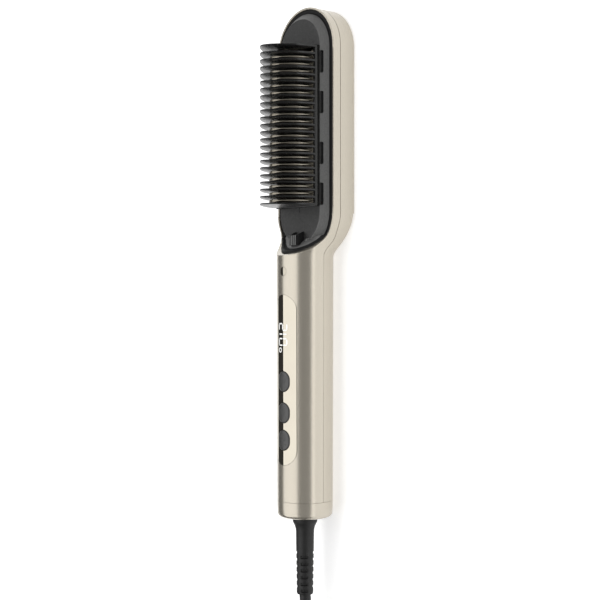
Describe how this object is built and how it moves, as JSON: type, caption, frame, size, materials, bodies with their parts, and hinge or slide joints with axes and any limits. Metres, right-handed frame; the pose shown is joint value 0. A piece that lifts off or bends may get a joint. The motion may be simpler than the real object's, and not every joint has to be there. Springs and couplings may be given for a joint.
{
  "type": "hair straightener brush",
  "caption": "Heated hair straightener comb with ribbed guard, round handle with display panel and push buttons, swivel mains lead with plug.",
  "frame": {"origin": "on the surface that the brush lies on, under the middle of its length", "axes": "+Y along the handle towards the head's tip, +Z away from the surface on the comb side, +X across"},
  "size_m": [0.0604, 0.6066, 0.0472],
  "materials": {
    "champagne_shell": "satin metallic paint over plastic",
    "charcoal_insert": "fine matt",
    "black_guard": "semi-gloss",
    "champagne_blade": "coated, satin",
    "heater_metal": "coated",
    "ceramic": "ceramic",
    "insulation": "mica sheet",
    "steel": "plain",
    "black_part": "matt",
    "clear_tank": "clear plastic",
    "soft_plug": "matt",
    "silicone_tube": "translucent",
    "gloss_panel": "mirror gloss",
    "readout": "lit",
    "lens": "smoked",
    "button_grey": "semi-gloss",
    "plunger": "plain",
    "circuit_board": "solder mask",
    "frame_plastic": "moulded",
    "capacitor": "plain",
    "red_wire": "silicone",
    "brown_wire": "plain",
    "cord_black": "satin",
    "tie_black": "woven",
    "plug_black": "satin",
    "pin_metal": "nickel"
  },
  "bodies": {
    "root": {"front_shell": "champagne_shell", "back_shell": "champagne_shell", "end_cap": "champagne_shell", "head_insert": "charcoal_insert", "comb_guard": "black_guard", "heating_blades": "champagne_blade", "heater_base": "heater_metal", "heater_element": "ceramic", "insulation_pad": "insulation", "heater_clamp": "steel", "thermistor": "black_part", "thermal_fuse": "steel", "vent_inserts": "black_part", "outlet_hood": "charcoal_insert", "water_tank": "clear_tank", "steam_pump": "black_part", "water_tube": "silicone_tube", "steam_chamber": "steel", "control_panel": "gloss_panel", "display_readout": "readout", "display_module": "black_part", "status_lens": "lens", "tact_switches": "black_part", "control_board": "circuit_board", "board_frame": "frame_plastic", "film_capacitor": "capacitor", "triac": "black_part", "heater_wires": "red_wire", "mains_wires": "brown_wire", "insert_screws": "steel", "board_screws": "steel", "case_screws": "steel", "cord_clamp": "black_part", "swivel_retainer": "frame_plastic", "power_cord": "cord_black", "cord_hank": "cord_black", "cord_tail": "cord_black", "hank_ties": "tie_black", "plug_body": "plug_black", "plug_pins": "pin_metal"},
    "power_key": {"power_button": "button_grey", "power_plunger": "plunger"},
    "plus_key": {"plus_button": "button_grey", "plus_plunger": "plunger"},
    "minus_key": {"minus_button": "button_grey", "minus_plunger": "plunger"},
    "filler": {"filler_plug": "soft_plug"},
    "swivel": {"strain_relief": "cord_black"}
  },
  "joints": [
    {"name": "power_press", "type": "slide", "parent": "root", "child": "power_key", "axis": [0, 0, -1], "range_m": [0, 0.0005], "stiffness_N_per_m": 3000, "springref_m": -0.0003},
    {"name": "plus_press", "type": "slide", "parent": "root", "child": "plus_key", "axis": [0, 0, -1], "range_m": [0, 0.0005], "stiffness_N_per_m": 3000, "springref_m": -0.0003},
    {"name": "minus_press", "type": "slide", "parent": "root", "child": "minus_key", "axis": [0, 0, -1], "range_m": [0, 0.0005], "stiffness_N_per_m": 3000, "springref_m": -0.0003},
    {"name": "filler_pull", "type": "slide", "parent": "root", "child": "filler", "axis": [-0.9136, 0, -0.4067], "range_m": [0, 0.008]},
    {"name": "cord_swivel", "type": "hinge", "parent": "root", "child": "swivel", "pos_m": [0, -0.145, 0.01625], "axis": [0, 1, 0], "continuous": true}
  ]
}
